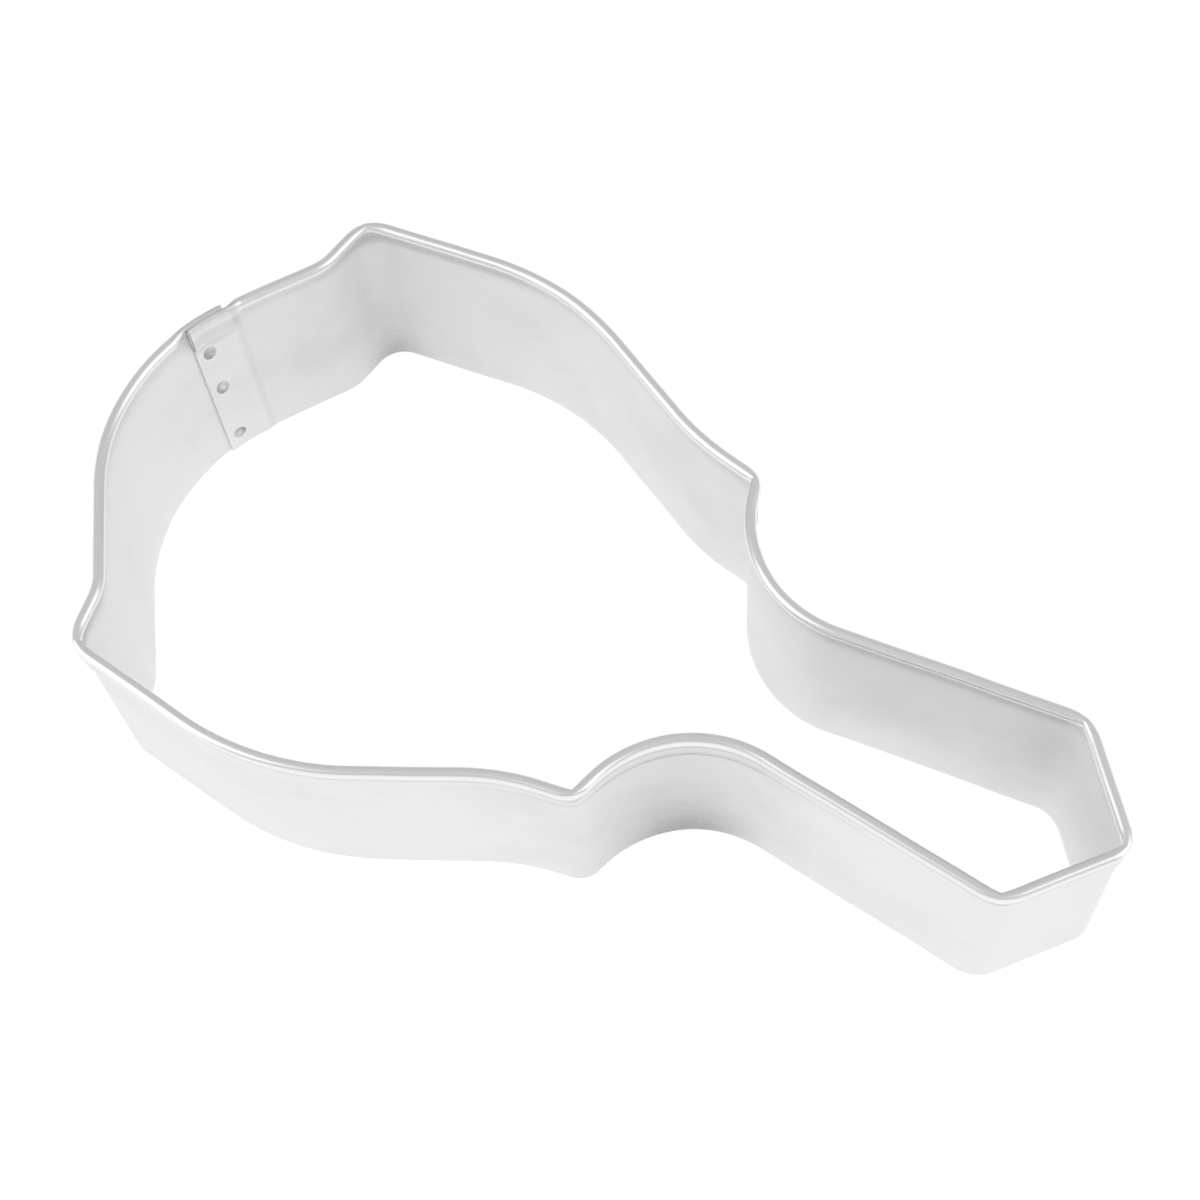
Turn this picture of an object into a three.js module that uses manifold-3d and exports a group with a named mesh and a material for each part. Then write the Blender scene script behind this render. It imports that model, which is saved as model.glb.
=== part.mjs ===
// Cookie cutter in the outline of a hand mirror.
// One strip of tinplate stands on edge and is bent round to the outline. Its top edge is rolled into a
// bead, its bottom edge cuts, and its ends lap on the crown of the head, held by three spot welds.
// Millimetres, +Z up. The cutting edge lies on z = 0, the head points along -X and the handle along +X.

import * as THREE from "three";
import { mergeVertices } from "three/addons/utils/BufferGeometryUtils.js";
import Module from "manifold-3d";

const { clamp, degToRad, euclideanModulo, lerp, smoothstep } = THREE.MathUtils;

// Strip
const WALL_HEIGHT = 25.4;
const SHEET = 0.28;

// Rolled bead along the top edge: the wall swings in under it, and its hem comes down outside the wall
const BEAD_RADIUS = 0.65;
const SWING_HEIGHT = 2.6;
const HEM_LEG = 2.3;
const HEM_GAP = 0.06;

// Outline, as the sharp corners that the bends round off: steps along the axis from the crown to the tip
const CROWN_TO_FOOT = 14.8;
const FOOT_TO_EAR = 1.1;
const EAR_TO_CHEEK = 24;
const CHEEK_TO_WAIST = 21.2;
const WAIST_TO_SHOULDER = 7.3;
const SHOULDER_TO_NECK = 3.8;
const NECK_TO_HEEL = 36.4;
const HEEL_TO_TIP = 8.6;

// Outline: width across each pair of corners
const FOOT_WIDTH = 43.5;
const EAR_WIDTH = 57;
const CHEEK_WIDTH = 62.8;
const WAIST_WIDTH = 41.4;
const SHOULDER_WIDTH = 38.9;
const NECK_WIDTH = 12.9;
const HEEL_WIDTH = 20.5;

// Outline: radius of each bend, at the middle of the sheet
const CROWN_BEND = 22.2;
const FOOT_BEND = 6.3;
const EAR_BEND = 3.6;
const CHEEK_BEND = 30.4;
const WAIST_BEND = 25.6;
const SHOULDER_BEND = 2.6;
const NECK_BEND = 13.3;
const HEEL_BEND = 4.3;
const TIP_BEND = 2.4;

// Lap seam: the inner end lies inside the outer end, which stops just short of the end of the crown bend
const SEAM_SETBACK = 0.8;
const LAP_LENGTH = 4.65;
const LAP_GAP = 0.06;
const LAP_BEAD_RADIUS = 0.42;
const SQUEEZE_RUNIN = 2.2;
const JOGGLE_START = 0.3;
const JOGGLE_LENGTH = 1.7;

// Bead of the inner end, pressed flat into a flap that steps in past the other end's squeezed bead
const FLAP_HEIGHT = 4.85;
const FLAP_STEP = 0.7;
const PRESS_RUNOUT = 2;

// Spot welds
const WELD_RADIUS = 0.8;
const WELD_CLEARANCE = 0.05;
const WELD_TO_END = 1.6;
const WELD_LOW_HEIGHT = 2.6;
const WELD_PITCH = 7.1;
const WELD_BELOW_FLAP = 0.9;
const WELD_DISH_RADIUS = 0.4;
const WELD_DISH = 0.08;
const WELD_LIP_RADIUS = 0.64;
const WELD_LIP = 0.05;
const DRILL_PAST = 0.5;

// Fineness of the facets
const BEND_STEP = degToRad(11);
const SEAM_STEP = 0.5;
const SWING_FACETS = 4;
const FOLD_FACETS = 7;
const LEG_FACETS = 3;
const WELD_FACETS = 20;
const SAME_STATION = 0.02;

const TINPLATE = { color: 0xd9dadb, roughness: 0.3, metalness: 1 };
const WELD_STEEL = { color: 0xa7a8aa, roughness: 0.5, metalness: 1 };

// Sharp corners of the outline, clockwise from the crown, each with the radius of its bend

function corners() {
  const side = [
    [CROWN_TO_FOOT, FOOT_WIDTH, FOOT_BEND],
    [FOOT_TO_EAR, EAR_WIDTH, EAR_BEND],
    [EAR_TO_CHEEK, CHEEK_WIDTH, CHEEK_BEND],
    [CHEEK_TO_WAIST, WAIST_WIDTH, WAIST_BEND],
    [WAIST_TO_SHOULDER, SHOULDER_WIDTH, SHOULDER_BEND],
    [SHOULDER_TO_NECK, NECK_WIDTH, NECK_BEND],
    [NECK_TO_HEEL, HEEL_WIDTH, HEEL_BEND],
  ];
  let along = 0;
  const far = side.map(([step, width, radius]) => {
    along += step;
    return { at: new THREE.Vector2(along, width / 2), radius };
  });
  const near = far.map(({ at, radius }) => ({ at: new THREE.Vector2(at.x, -at.y), radius }));
  const crown = { at: new THREE.Vector2(0, 0), radius: CROWN_BEND };
  const tip = { at: new THREE.Vector2(along + HEEL_TO_TIP, 0), radius: TIP_BEND };
  return [crown, ...far, tip, ...near.reverse()];
}

// A straight stretch of the strip: place(d) gives the point and the outward normal at distance d

function flat(from, to) {
  const length = from.distanceTo(to);
  const run = to.clone().sub(from).divideScalar(length);
  const normal = new THREE.Vector2(-run.y, run.x);
  const place = (d) => ({ point: run.clone().multiplyScalar(d).add(from), normal });
  return { length, stations: [0, length], place };
}

// A bend that starts at a point with a given run: a positive turn is to the left, away from the inside

function bend(from, run, turn, radius) {
  const side = Math.sign(turn);
  const length = radius * Math.abs(turn);
  const startNormal = new THREE.Vector2(-run.y, run.x);
  const centre = startNormal.clone().multiplyScalar(side * radius).add(from);
  const place = (d) => {
    const normal = startNormal.clone().rotateAround(new THREE.Vector2(), (side * d) / radius);
    return { point: normal.clone().multiplyScalar(-side * radius).add(centre), normal };
  };
  const facets = Math.max(2, Math.ceil(Math.abs(turn) / BEND_STEP));
  const stations = Array.from({ length: facets + 1 }, (_, i) => (length * i) / facets);
  return { length, stations, place };
}

// The closed outline as bends and flats, from the end of the crown bend round to the same point.
// A bend is no longer than the flats beside it allow.

function outline() {
  const list = corners();
  const count = list.length;
  const next = (i) => (i + 1) % count;
  const last = (i) => (i + count - 1) % count;
  const run = list.map(({ at }, i) => list[next(i)].at.clone().sub(at).normalize());
  const reach = list.map(({ at }, i) => list[next(i)].at.distanceTo(at));
  const turn = list.map((_, i) => Math.atan2(run[last(i)].cross(run[i]), run[last(i)].dot(run[i])));
  const wanted = list.map(({ radius }, i) => radius * Math.tan(Math.abs(turn[i]) / 2));
  const share = (i) => Math.min(1, reach[i] / (wanted[i] + wanted[next(i)]));
  const setback = wanted.map((tangent, i) => tangent * Math.min(share(i), share(last(i))));
  const pieces = [];
  for (let i = 0; i < count; i++) {
    const j = next(i);
    const start = list[i].at.clone().addScaledVector(run[i], setback[i]);
    const end = list[j].at.clone().addScaledVector(run[i], -setback[j]);
    if (start.distanceTo(end) > SAME_STATION) pieces.push(flat(start, end));
    pieces.push(bend(end, run[i], turn[j], setback[j] / Math.tan(Math.abs(turn[j]) / 2)));
  }
  return pieces;
}

// The strip's path: stations along the loop, and the place on the outline at any of them

function stripPath() {
  const pieces = outline();
  const starts = [];
  let loop = 0;
  for (const piece of pieces) {
    starts.push(loop);
    loop += piece.length;
  }
  const place = (station) => {
    const s = euclideanModulo(station, loop);
    const i = starts.findLastIndex((start) => start <= s);
    return pieces[i].place(s - starts[i]);
  };
  const outerEnd = loop - SEAM_SETBACK;
  const innerEnd = -SEAM_SETBACK - LAP_LENGTH;
  const runoutEnd = -SEAM_SETBACK + JOGGLE_START + Math.max(JOGGLE_LENGTH, PRESS_RUNOUT);
  const seamFacets = Math.ceil((runoutEnd - innerEnd) / SEAM_STEP);
  const seam = Array.from({ length: seamFacets + 1 }, (_, i) => lerp(innerEnd, runoutEnd, i / seamFacets));
  const rest = pieces.flatMap(({ stations }, i) => stations.map((d) => starts[i] + d));
  const lapStart = outerEnd - LAP_LENGTH;
  const runinStart = lapStart - SQUEEZE_RUNIN;
  const runinFacets = Math.ceil(SQUEEZE_RUNIN / SEAM_STEP);
  const runin = Array.from({ length: runinFacets }, (_, i) => lerp(runinStart, lapStart, i / runinFacets));
  const bends = rest.filter((s) => s > runoutEnd && s < outerEnd);
  const stations = [...seam, ...bends, ...runin, lapStart, outerEnd]
    .sort((a, b) => a - b)
    .filter((s, i, all) => i === 0 || s - all[i - 1] > SAME_STATION);
  return { place, stations, innerEnd, lapStart };
}

// Middle line of the sheet in one section: x is outwards from the wall, y is up.
// A press of 0 gives the round bead, and a press of 1 the flattened flap of the inner end.
// A squeeze of 1 narrows the bead from the inside, as far as it goes on the outer end at the lap.

const BEAD_LINE = BEAD_RADIUS - SHEET / 2;
const LAP_BEAD_LINE = LAP_BEAD_RADIUS - SHEET / 2;
const HEM_LINE = (SHEET + HEM_GAP) / 2;

function sheetLine({ press, squeeze }) {
  const bead = lerp(BEAD_LINE, LAP_BEAD_LINE, squeeze);
  const fold = lerp(bead, HEM_LINE, press);
  const swing = lerp(2 * bead - BEAD_LINE, 2 * LAP_BEAD_LINE - BEAD_LINE + 2 * HEM_LINE, press);
  const lean = Math.atan2(2 * swing, SWING_HEIGHT) * (1 - press);
  const close = (BEAD_LINE - 2 * HEM_LINE) * (1 - press);
  const closeLean = Math.atan2(2 * close, HEM_LEG);
  const centre = new THREE.Vector2(fold - swing, WALL_HEIGHT - SHEET / 2 - fold);
  const folded = Array.from({ length: FOLD_FACETS + 1 }, (_, i) => {
    const angle = lerp(Math.PI + lean, -closeLean, i / FOLD_FACETS);
    return new THREE.Vector2(Math.cos(angle), Math.sin(angle)).multiplyScalar(fold).add(centre);
  });
  const top = folded[0];
  const knee = lerp(top.y - SWING_HEIGHT, WALL_HEIGHT - FLAP_HEIGHT, press);
  const step = lerp(SWING_HEIGHT, FLAP_STEP, press);
  const swung = Array.from({ length: SWING_FACETS }, (_, i) => {
    const even = lerp(knee, top.y, i / SWING_FACETS);
    const stepped = knee + (step * i) / (SWING_FACETS - 1);
    const height = lerp(even, stepped, press);
    const f = clamp((height - knee) / step, 0, 1);
    return new THREE.Vector2(top.x * lerp(f * f, smoothstep(f, 0, 1), press), height);
  });
  const end = folded.at(-1);
  const legLength = Math.PI * (BEAD_LINE - fold) + HEM_LEG;
  const leg = Array.from({ length: LEG_FACETS }, (_, i) => {
    const f = (i + 1) / LEG_FACETS;
    return new THREE.Vector2(end.x - close * (1 - (1 - f) ** 2), end.y - legLength * f);
  });
  return [new THREE.Vector2(0, 0), ...swung, ...folded, ...leg];
}

// Section outline: the inner face from the cutting edge to the edge of the hem, then the outer face back

function section(state) {
  const line = sheetLine(state);
  const normals = line.map((_, i) => {
    const before = line[Math.max(i - 1, 0)];
    const after = line[Math.min(i + 1, line.length - 1)];
    const run = after.clone().sub(before).normalize();
    return new THREE.Vector2(-run.y, run.x);
  });
  const face = (side) => line.map((p, i) => p.clone().addScaledVector(normals[i], (side * SHEET) / 2));
  return [...face(1), ...face(-1).reverse()];
}

// How far the strip stands in from the outline, how flat its bead is pressed and how far it is squeezed

function seamState(path, station) {
  const start = -SEAM_SETBACK + JOGGLE_START;
  const inset = (SHEET + LAP_GAP) * (1 - smoothstep(station, start, start + JOGGLE_LENGTH));
  const press = 1 - smoothstep(station, start, start + PRESS_RUNOUT);
  const squeeze = smoothstep(station, path.lapStart - SQUEEZE_RUNIN, path.lapStart);
  return { inset, press, squeeze };
}

// Loft of the section along the path, closed by a cap at each end of the strip

function loftBand(path) {
  const rings = path.stations.map((station) => {
    const { point, normal } = path.place(station);
    const state = seamState(path, station);
    return section(state).map((p) => {
      const flatPlace = normal.clone().multiplyScalar(p.x - state.inset).add(point);
      return new THREE.Vector3(flatPlace.x, flatPlace.y, p.y);
    });
  });
  const size = rings[0].length;
  const index = [];
  for (let r = 0; r + 1 < rings.length; r++) {
    for (let i = 0; i < size; i++) {
      const j = (i + 1) % size;
      const [a, b, c, d] = [r * size + i, r * size + j, (r + 1) * size + j, (r + 1) * size + i];
      index.push(a, c, b, a, d, c);
    }
  }
  const lastRing = (rings.length - 1) * size;
  for (let i = 0; i + 1 < size / 2; i++) {
    const [a, b, c, d] = [i, i + 1, size - 2 - i, size - 1 - i];
    index.push(a, b, c, a, c, d);
    index.push(lastRing + a, lastRing + c, lastRing + b, lastRing + a, lastRing + d, lastRing + c);
  }
  return new THREE.BufferGeometry().setFromPoints(rings.flat()).setIndex(index);
}

// Welds: a nugget through both laps, dished on both faces by the electrodes

function weldPlaces(path) {
  const { point, normal } = path.place(path.innerEnd + WELD_TO_END);
  const depth = -(SHEET + LAP_GAP) / 2;
  const middle = normal.clone().multiplyScalar(depth).add(point);
  const upper = WALL_HEIGHT - FLAP_HEIGHT - WELD_BELOW_FLAP;
  const heights = { upper, middle: upper - WELD_PITCH, lower: WELD_LOW_HEIGHT };
  const axis = new THREE.Vector3(normal.x, normal.y, 0);
  const turn = new THREE.Quaternion().setFromUnitVectors(new THREE.Vector3(0, 1, 0), axis);
  return Object.entries(heights).map(([name, height]) => ({
    name: `spot_weld_${name}`,
    position: new THREE.Vector3(middle.x, middle.y, height),
    turn,
  }));
}

const LAP_STACK = 2 * SHEET + LAP_GAP;

function nuggetGeometry() {
  const face = LAP_STACK / 2;
  const half = [
    [0, face - WELD_DISH],
    [WELD_DISH_RADIUS, face - WELD_DISH / 2],
    [WELD_LIP_RADIUS, face + WELD_LIP],
    [WELD_RADIUS, face],
  ];
  const profile = [...half.map(([r, y]) => [r, -y]), ...half.toReversed()];
  return new THREE.LatheGeometry(
    profile.map(([r, y]) => new THREE.Vector2(r, y)),
    WELD_FACETS,
  );
}

// Solids for the weld holes

const wasm = await Module();
wasm.setup();

function solid(geometry) {
  const bare = geometry.clone();
  bare.deleteAttribute("normal");
  bare.deleteAttribute("uv");
  const merged = mergeVertices(bare);
  return new wasm.Manifold(
    new wasm.Mesh({
      numProp: 3,
      vertProperties: merged.attributes.position.array,
      triVerts: new Uint32Array(merged.index.array),
    }),
  );
}

function geometryOf(made) {
  const mesh = made.getMesh();
  const geometry = new THREE.BufferGeometry();
  geometry.setAttribute("position", new THREE.BufferAttribute(mesh.vertProperties, mesh.numProp));
  geometry.setIndex(new THREE.BufferAttribute(mesh.triVerts, 1));
  geometry.computeVertexNormals();
  return geometry;
}

function bandGeometry(path, welds) {
  let band = solid(loftBand(path));
  for (const { position, turn } of welds) {
    const drill = new THREE.CylinderGeometry(
      WELD_RADIUS + WELD_CLEARANCE,
      WELD_RADIUS + WELD_CLEARANCE,
      LAP_STACK + 2 * DRILL_PAST,
      WELD_FACETS,
    );
    drill.applyQuaternion(turn).translate(position.x, position.y, position.z);
    band = band.subtract(solid(drill));
  }
  return geometryOf(band);
}

// Assembly, with the middle of the outline over the origin

const path = stripPath();
const welds = weldPlaces(path);

function named(name, geometry, look) {
  const mesh = new THREE.Mesh(geometry, new THREE.MeshStandardMaterial(look));
  mesh.name = name;
  return mesh;
}

const cutter = new THREE.Group();
const band = named("cutter_band", bandGeometry(path, welds), TINPLATE);
cutter.add(band);
for (const { name, position, turn } of welds) {
  const nugget = named(name, nuggetGeometry(), WELD_STEEL);
  nugget.position.copy(position);
  nugget.quaternion.copy(turn);
  cutter.add(nugget);
}
band.geometry.computeBoundingBox();
const middle = band.geometry.boundingBox.getCenter(new THREE.Vector3());
for (const piece of cutter.children) piece.position.x -= middle.x;

export default cutter;
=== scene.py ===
import cmath
import math

import bmesh
import bpy
import numpy as np
from bpy.props import FloatProperty, FloatVectorProperty, PointerProperty
from mathutils import Matrix, Vector


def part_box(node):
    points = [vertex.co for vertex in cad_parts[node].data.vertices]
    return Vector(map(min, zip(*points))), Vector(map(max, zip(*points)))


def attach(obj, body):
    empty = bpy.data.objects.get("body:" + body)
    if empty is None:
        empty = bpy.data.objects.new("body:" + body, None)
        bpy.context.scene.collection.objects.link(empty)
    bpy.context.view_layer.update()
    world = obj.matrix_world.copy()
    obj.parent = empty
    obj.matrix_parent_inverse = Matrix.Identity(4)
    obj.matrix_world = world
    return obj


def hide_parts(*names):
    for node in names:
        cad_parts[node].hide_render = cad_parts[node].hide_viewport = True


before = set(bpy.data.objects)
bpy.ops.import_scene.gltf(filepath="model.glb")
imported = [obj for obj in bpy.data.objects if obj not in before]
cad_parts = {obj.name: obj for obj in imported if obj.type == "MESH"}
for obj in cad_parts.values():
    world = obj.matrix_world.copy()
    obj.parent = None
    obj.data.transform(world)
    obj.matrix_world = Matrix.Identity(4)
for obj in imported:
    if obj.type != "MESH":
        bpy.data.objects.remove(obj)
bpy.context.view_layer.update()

bl_info = {
    "name": "Cookie Cutter",
    "version": (1, 0, 0),
    "blender": (4, 5, 0),
    "location": "View3D > Sidebar > Cutter",
    "description": "Builds a tinplate cookie cutter in the outline of a hand mirror",
    "category": "Add Mesh",
}

BAND_LOW, BAND_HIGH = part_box("cutter_band")
MM = 0.001

# Sharp corners of the outline from the crown to the tip, in millimetres: step along the axis from the
# corner before, width across the pair of corners, and radius of the bend at the middle of the sheet
CORNERS = {
    "crown": (0.0, 0.0, 22.2),
    "foot": (14.8, 43.5, 6.3),
    "ear": (1.1, 57.0, 3.6),
    "cheek": (24.0, 62.8, 30.4),
    "waist": (21.2, 41.4, 25.6),
    "shoulder": (7.3, 38.9, 2.6),
    "neck": (3.8, 12.9, 13.3),
    "heel": (36.4, 20.5, 4.3),
    "tip": (8.6, 0.0, 2.4),
}

# Fineness of the meshes
BEND_STEP = math.radians(2.5)
FLAT_STEP = 1.6 * MM
SEAM_STEP = 0.2 * MM
SAME_STATION = 0.02 * MM
SAME_POINT = 0.001 * MM
WALL_ROWS = 22
SWING_ROWS = 10
RISE_ROWS = 4
FOLD_ROWS = 28
LEG_ROWS = 12
EDGE_ROWS = 2
LEG_START = WALL_ROWS + SWING_ROWS + RISE_ROWS + FOLD_ROWS + EDGE_ROWS + 1
WELD_SPOKES = 48
WELD_RINGS = 14
FLOOR_SPOKES = 96
SHARP_ANGLE = math.radians(38)

# Sides that a bend turns to: hollows turn away from the inside, corners turn round it
HOLLOW = 1
CORNER = -1

# Radii of the bends where the hem flares, and where shade is painted on the tin
FLARED_RADII = (0, 20 * MM)
NECK_RADII = (10 * MM, 20 * MM)
EAR_RADII = (3 * MM, 4 * MM)

# Power that keeps the flare to the hem's free edge, and most of half the sheet that an edge rounds off
FLARE_POWER = 6
EDGE_SHARE = 0.8

# Unevenness of the bent strip: waves round the loop, share of the depth, lean up the wall, phase
WAVES = ((9, 0.40, 0.9, 0.4), (14, 0.32, -1.4, 2.1), (23, 0.20, 1.9, 4.0), (37, 0.08, -2.6, 1.2))

# Painted shade under the bead is full where the outward normal's X is near this, on the long sides
LONG_SIDE = -0.12
LONG_SIDE_SPREAD = 0.22
SHORT_SIDE_SHARE = 0.4

# Depths below the rim, in bead radii
BEAD_END = 2.0
BEAD_FADE = 2.5
UNDERSIDE = 1.7
UNDERSIDE_SPREAD = 0.5
UNDER_SHADE_RISE = (1.0, 1.6)
UNDER_SHADE_FULL = 3.0

# Lap: painted shade where the pressed hem opens out, against the crease, and depths of the wear on the
# pressed fold
OPENING_SHADE = 1.5
FOLD_FADE = 1.1 * MM
FOLD_FULL = 0.6 * MM

# Height of the painted shade line at the hem's root above its free edge, against the hem's leg
HEM_ROOT = 0.8

# Spot welds from the top down: turn of the heavier side, clearness of the middle, height against the width
WELD_MARKS = {
    "upper": (-0.6, 0.15, 1.3),
    "middle": (-0.7, 0.95, 1.4),
    "lower": (2.4, 0.85, 1.1),
}

# Face of a weld, in shares of its radius: the dish, the ring round it, the low middle and the level rim
DISH_AT = 0.5
DISH_SPREAD = 0.24
LIP_AT = 0.83
LIP_SPREAD = 0.11
MIDDLE_DEPTH = 0.3
MIDDLE_SPREAD = 0.28
LEVEL_POWER = 10

# How much deeper the heavy side of a weld is pressed, and how much of that its ring takes up
HEAVY_LEAN = 0.45
LIP_LEAN = 0.45

# Burning of a weld: its mean, its lean to the heavy side, the spread of the clear middle, and its waves
BURN_MEAN = 0.66
BURN_LEAN = 0.44
CLEAR_SPREAD = 0.5
BURN_WAVE_DEPTH = 0.22
BURN_WAVES = 3
BURN_WAVE_PHASE = 2

# How much smaller a hole is than its weld, so that no gap shows, and the drill's reach in sheets
HOLE_EASE = 0.01 * MM
DRILL_REACH = 4

# Noise of the finishes, in features per metre
ROLLING_LINES = (90, 90, 14000)
TIN_PATCHES = 75.0
TIN_GRAIN = 2400.0
WELD_PATCHES = 2200.0
WELD_GRAIN = 9000.0
FLOOR_PATCHES = 6.0

# Spans of the noise over which the finishes change
PATCH_SPAN = (0.42, 0.72)
LINE_SPAN = (0.4, 0.75)
GRAIN_SPAN = (0.3, 0.7)
GLOSS_SPAN = (0.35, 0.7)
BURN_SPAN = (0.3, 0.65)
MOTTLE_SPAN = (0.35, 0.65)

# Shares of patches and lines in the gloss and of grain in the relief, and speckle of the painted shade and
# wear and of burning
PATCH_GLOSS = 0.6
LINE_GLOSS = 0.4
GRAIN_RELIEF = 0.35
SHADE_AND_WEAR_SPECKLE = (0.85, 1.15)
BURN_SPECKLE = (0.75, 1.2)

WHITE = (1.0, 1.0, 1.0, 1.0)


def length(name, millimetres, description):
    """A length property that is given in millimetres"""
    return FloatProperty(
        name=name,
        description=description,
        default=millimetres * MM,
        min=0.0,
        precision=5,
        unit="LENGTH",
    )


def angle(name, degrees, description):
    """An angle property that is given in degrees"""
    return FloatProperty(
        name=name,
        description=description,
        default=math.radians(degrees),
        subtype="ANGLE",
    )


def colour(name, values, description):
    """A linear colour property"""
    return FloatVectorProperty(
        name=name,
        description=description,
        default=values,
        size=3,
        min=0.0,
        max=1.0,
        subtype="COLOR",
    )


def amount(name, value, description):
    """A plain number property"""
    return FloatProperty(name=name, description=description, default=value, min=0.0)


def power(name, watts, description):
    """A power property"""
    return FloatProperty(name=name, description=description, default=watts, min=0.0, unit="POWER")


def corner(name, millimetres):
    """The three sizes of one pair of corners, given in millimetres"""
    return FloatVectorProperty(
        name=f"{name.capitalize()} corners",
        description="Step along the axis, width across and radius of the bend",
        default=[value * MM for value in millimetres],
        size=3,
        min=0.0,
        precision=4,
        unit="LENGTH",
    )


class CutterOutline(bpy.types.PropertyGroup):
    """Corners of the outline, each rounded off by a bend"""

    __annotations__ = {name: corner(name, sizes) for name, sizes in CORNERS.items()}


class CutterStrip(bpy.types.PropertyGroup):
    """Section and unevenness of the strip, and the shade painted on it"""

    wall_height: length("Wall height", (BAND_HIGH.z - BAND_LOW.z) / MM, "From cutting edge to bead top")
    sheet: length("Sheet", 0.28, "Thickness of the tinplate")
    bead_radius: length("Bead radius", 0.65, "Outside radius of the rolled bead")
    swing_height: length("Swing height", 2.6, "Height over which the wall swings in under the bead")
    hem_leg: length("Hem leg", 2.3, "From the bead down to the free edge of the hem")
    hem_gap: length("Hem gap", 0.06, "Gap between the wall and the free edge of the hem")
    tight_bend: length("Tight bend", 5, "Bends of a smaller radius than this squeeze the bead")
    bend_squeeze: amount("Squeeze in bends", 0.95, "How far a tight bend squeezes the bead, against the lap")
    hem_flare: length("Hem flare", 0.25, "How far the hem's free edge flares out in hollows")
    flare_runout: length("Flare runout", 1.2, "Length over which the flare runs out past the hollow")
    # Painted shade: darkens the outside by the cutting edge in the neck hollows, where shade falls near the
    # floor
    hollow_shade: amount("Soil in hollows", 0.32, "Soil by the cutting edge in the hollows of the neck")
    hollow_shade_height: length("Height of soil in hollows", 6, "Height over which that soil thins out")
    hollow_shade_reach: length("Reach of soil in hollows", 6.5, "Length over which that soil thins out")
    # Painted shade: an even darkening of the strip's outside around the neck
    neck_shade: amount("Dullness by the neck", 0.085, "Even dullness of the strip's outside by the neck")
    neck_shade_reach: length("Reach of dullness by the neck", 12, "Length over which it thins out")
    # Painted shade: darkens the inside by the cutting edge in the tight ear corners
    ear_corner_shade: amount("Soil in the ears", 0.24, "Soil by the cutting edge inside the ears of the head")
    ear_corner_shade_height: length("Height of soil in the ears", 5, "Height over which that soil thins out")
    ear_corner_shade_reach: length("Reach of soil in the ears", 3.4, "Length over which that soil thins out")
    # Painted shade: an even darkening inside the head by the ear next to the lap
    ear_side_shade: amount("Dullness by the ear", 0.055, "Even dullness inside the head by the ear next to the lap")
    ear_side_shade_reach: length("Reach of dullness by the ear", 18, "Length over which it thins out")
    # Painted shade: darkens the bead's underside and the wall under it on the inside, most on the long sides
    bead_underside_shade: amount("Soil on the bead", 0.42, "Soil on the underside of the bead, most on the long sides")
    under_bead_shade: amount("Soil under the bead", 0.24, "Soil on the wall under the bead, most on the long sides")
    under_bead_shade_height: length("Height of soil under the bead", 1.2, "Height over which that soil thins out")
    # Painted shade: dark lines along the hem's root and, by the neck, along and under its free edge
    hem_shade: amount("Soil at the hem", 0.22, "Soil along the hem's root and, by the neck, its free edge")
    hem_shade_height: length("Height of soil at the hem", 0.3, "Height over which that soil thins out")
    hem_shade_reach: length("Reach of soil at the hem", 18, "Length over which that soil thins out")
    edge_round: length("Edge rounding", 0.05, "Radius of the sheared edges")
    waviness: length("Waviness", 0.07, "Unevenness that bending left in the wall")


class CutterSeam(bpy.types.PropertyGroup):
    """Lap seam on the crown, where the inner end lies inside the outer end"""

    setback: length("Setback", 0.8, "From the end of the crown bend back to the outer end")
    lap_length: length("Lap length", 4.65, "Overlap of the two ends")
    lap_gap: length("Lap gap", 0.06, "Gap between the two laps")
    joggle_start: length("Joggle start", 0.3, "From the outer end to the start of the joggle")
    joggle_length: length("Joggle length", 1.7, "Length of the joggle that brings the inner end inside")
    bead_radius: length("Squeezed bead radius", 0.42, "Outside radius of the outer end's bead at the lap")
    squeeze_runin: length("Squeeze run-in", 2.2, "Length over which the outer end's bead narrows")
    flap_height: length("Flap height", 4, "Depth of the top of the inner end that steps in past the bead")
    flap_step: length("Flap step", 0.7, "Height over which the flap steps in from the wall")
    press_runout: length("Press runout", 2, "Length over which the hem opens out to the round bead")
    flap_rise: length("Flap rise", 0.35, "How far the flattened fold stands above the round bead")
    flap_lift: length("Flap lift", 0.09, "How far the corner of the flap springs in")
    flap_lift_run: length("Flap lift run", 1.4, "Length of the flap that springs in")
    # Painted shade: a dark line in the crease under the flap's step, and where the pressed hem opens out
    crease_shade: amount("Soil in the crease", 0.3, "Soil along the step of the flap")
    crease_width: length("Crease width", 0.2, "Half the width of the soiled crease")
    press_wear: amount("Press wear", 0.15, "Wear of the flattened fold and of the squeezed bead")
    # Painted shade: darkens the flap's face under the fold
    flap_shade: amount("Flap wear", 0.07, "Wear of the flap's face under the fold")
    # Painted shade: darkens the sheared ends of the flap and of the outer end's bead
    end_shade: amount("Soil on the ends", 1.0, "Soil on the sheared ends of the flap and of the outer bead")
    # Painted shade: a faint dark band along the joggle
    joggle_shade: amount("Joggle wear", 0.06, "Wear of the joggle")


class CutterWelds(bpy.types.PropertyGroup):
    """Spot welds through both laps"""

    radius: length("Weld radius", 0.8, "Radius of a weld mark")
    to_end: length("Weld to end", 1.6, "From the inner end to the line of welds")
    low_height: length("Lowest weld", 2.6, "Height of the lowest weld")
    pitch: length("Weld pitch", 7.1, "From the upper weld down to the middle one")
    below_flap: length("Weld below flap", 1.75, "From the flap down to the upper weld")
    dish: length("Weld dish", 0.05, "Depth that the electrode pressed in")
    lip: length("Weld lip", 0.03, "Height of the ring pushed up round the dish")


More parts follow.
